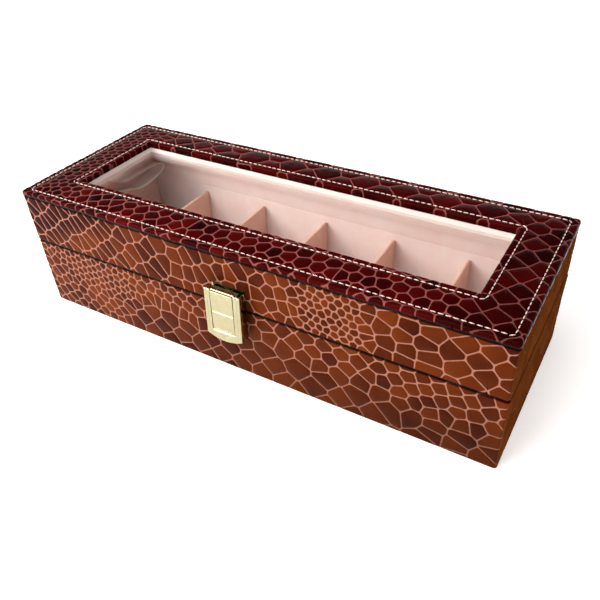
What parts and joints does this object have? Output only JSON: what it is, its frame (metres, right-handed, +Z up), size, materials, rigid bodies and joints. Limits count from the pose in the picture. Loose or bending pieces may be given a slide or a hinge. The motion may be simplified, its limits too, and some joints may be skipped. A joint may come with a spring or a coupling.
{
  "type": "watch box",
  "caption": "Long hinged watch box covered in scale-embossed leather, with a glazed lid, a metal lever latch, velvet-lined compartments, loose watch cushions and a ribbon lid stay.",
  "frame": {"origin": "middle of the resting face, on the table", "axes": "+X along the length, -Y the front with the latch, +Z up"},
  "size_m": [0.3006, 0.1232, 0.0819],
  "materials": {
    "embossed_leather": "gloss, embossed with irregular scales",
    "fibreboard": "raw medium-density fibreboard",
    "lining_velvet": "short-pile velvet on card",
    "cushion_velvet": "short-pile velvet over foam",
    "ribbon_satin": "satin ribbon",
    "underside_felt": "flocked paper",
    "latch_metal": "polished pale gilt plating",
    "hinge_metal": "satin gilt plating",
    "window_glass": "clear flat glass"
  },
  "bodies": {
    "base": {"base_back_lining": "lining_velvet", "base_back_panel": "fibreboard", "base_floor_lining": "lining_velvet", "base_floor_panel": "fibreboard", "base_front_lining": "lining_velvet", "base_front_panel": "fibreboard", "base_leather_wrap": "embossed_leather", "base_left_lining": "lining_velvet", "base_left_panel": "fibreboard", "base_right_lining": "lining_velvet", "base_right_panel": "fibreboard", "base_underside_sheet": "underside_felt", "divider_1": "lining_velvet", "divider_2": "lining_velvet", "divider_3": "lining_velvet", "divider_4": "lining_velvet", "divider_5": "lining_velvet", "hinge_left_base_leaf": "hinge_metal", "hinge_left_base_screw_1": "hinge_metal", "hinge_left_base_screw_2": "hinge_metal", "hinge_left_pin": "hinge_metal", "hinge_right_base_leaf": "hinge_metal", "hinge_right_base_screw_1": "hinge_metal", "hinge_right_base_screw_2": "hinge_metal", "hinge_right_pin": "hinge_metal", "latch_keeper_plate": "latch_metal", "lid_stay_ribbon": "ribbon_satin"},
    "lid": {"hinge_left_lid_leaf": "hinge_metal", "hinge_left_lid_screw_1": "hinge_metal", "hinge_left_lid_screw_2": "hinge_metal", "hinge_right_lid_leaf": "hinge_metal", "hinge_right_lid_screw_1": "hinge_metal", "hinge_right_lid_screw_2": "hinge_metal", "latch_lid_plate": "latch_metal", "latch_pin": "latch_metal", "lid_back_lining": "lining_velvet", "lid_back_panel": "fibreboard", "lid_front_lining": "lining_velvet", "lid_front_panel": "fibreboard", "lid_leather_wrap": "embossed_leather", "lid_left_lining": "lining_velvet", "lid_left_panel": "fibreboard", "lid_right_lining": "lining_velvet", "lid_right_panel": "fibreboard", "lid_top_board": "fibreboard", "lid_top_leather_frame": "embossed_leather", "window_edge_lining": "lining_velvet", "window_glass": "window_glass", "window_retainer": "lining_velvet"},
    "latch_lever": {"latch_lever": "latch_metal", "latch_face_panel": "latch_metal"},
    "cushion_1": {"cushion_1": "cushion_velvet"},
    "cushion_2": {"cushion_2": "cushion_velvet"},
    "cushion_3": {"cushion_3": "cushion_velvet"},
    "cushion_4": {"cushion_4": "cushion_velvet"},
    "cushion_5": {"cushion_5": "cushion_velvet"},
    "cushion_6": {"cushion_6": "cushion_velvet"}
  },
  "joints": [
    {"name": "lid_hinge", "type": "hinge", "parent": "base", "child": "lid", "pos_m": [0, 0.0569, 0.0466], "axis": [-1, 0, 0], "range_deg": [0, 95], "deforming": ["lid_stay_ribbon"]},
    {"name": "latch_lever_pivot", "type": "hinge", "parent": "lid", "child": "latch_lever", "pos_m": [0, -0.0592, 0.0575], "axis": [-1, 0, 0], "range_deg": [0, 70]},
    {"name": "cushion_1_lift", "type": "slide", "parent": "base", "child": "cushion_1", "axis": [0, 0, 1], "range_m": [0, 0.028]},
    {"name": "cushion_2_lift", "type": "slide", "parent": "base", "child": "cushion_2", "axis": [0, 0, 1], "range_m": [0, 0.028]},
    {"name": "cushion_3_lift", "type": "slide", "parent": "base", "child": "cushion_3", "axis": [0, 0, 1], "range_m": [0, 0.028]},
    {"name": "cushion_4_lift", "type": "slide", "parent": "base", "child": "cushion_4", "axis": [0, 0, 1], "range_m": [0, 0.028]},
    {"name": "cushion_5_lift", "type": "slide", "parent": "base", "child": "cushion_5", "axis": [0, 0, 1], "range_m": [0, 0.028]},
    {"name": "cushion_6_lift", "type": "slide", "parent": "base", "child": "cushion_6", "axis": [0, 0, 1], "range_m": [0, 0.028]}
  ]
}
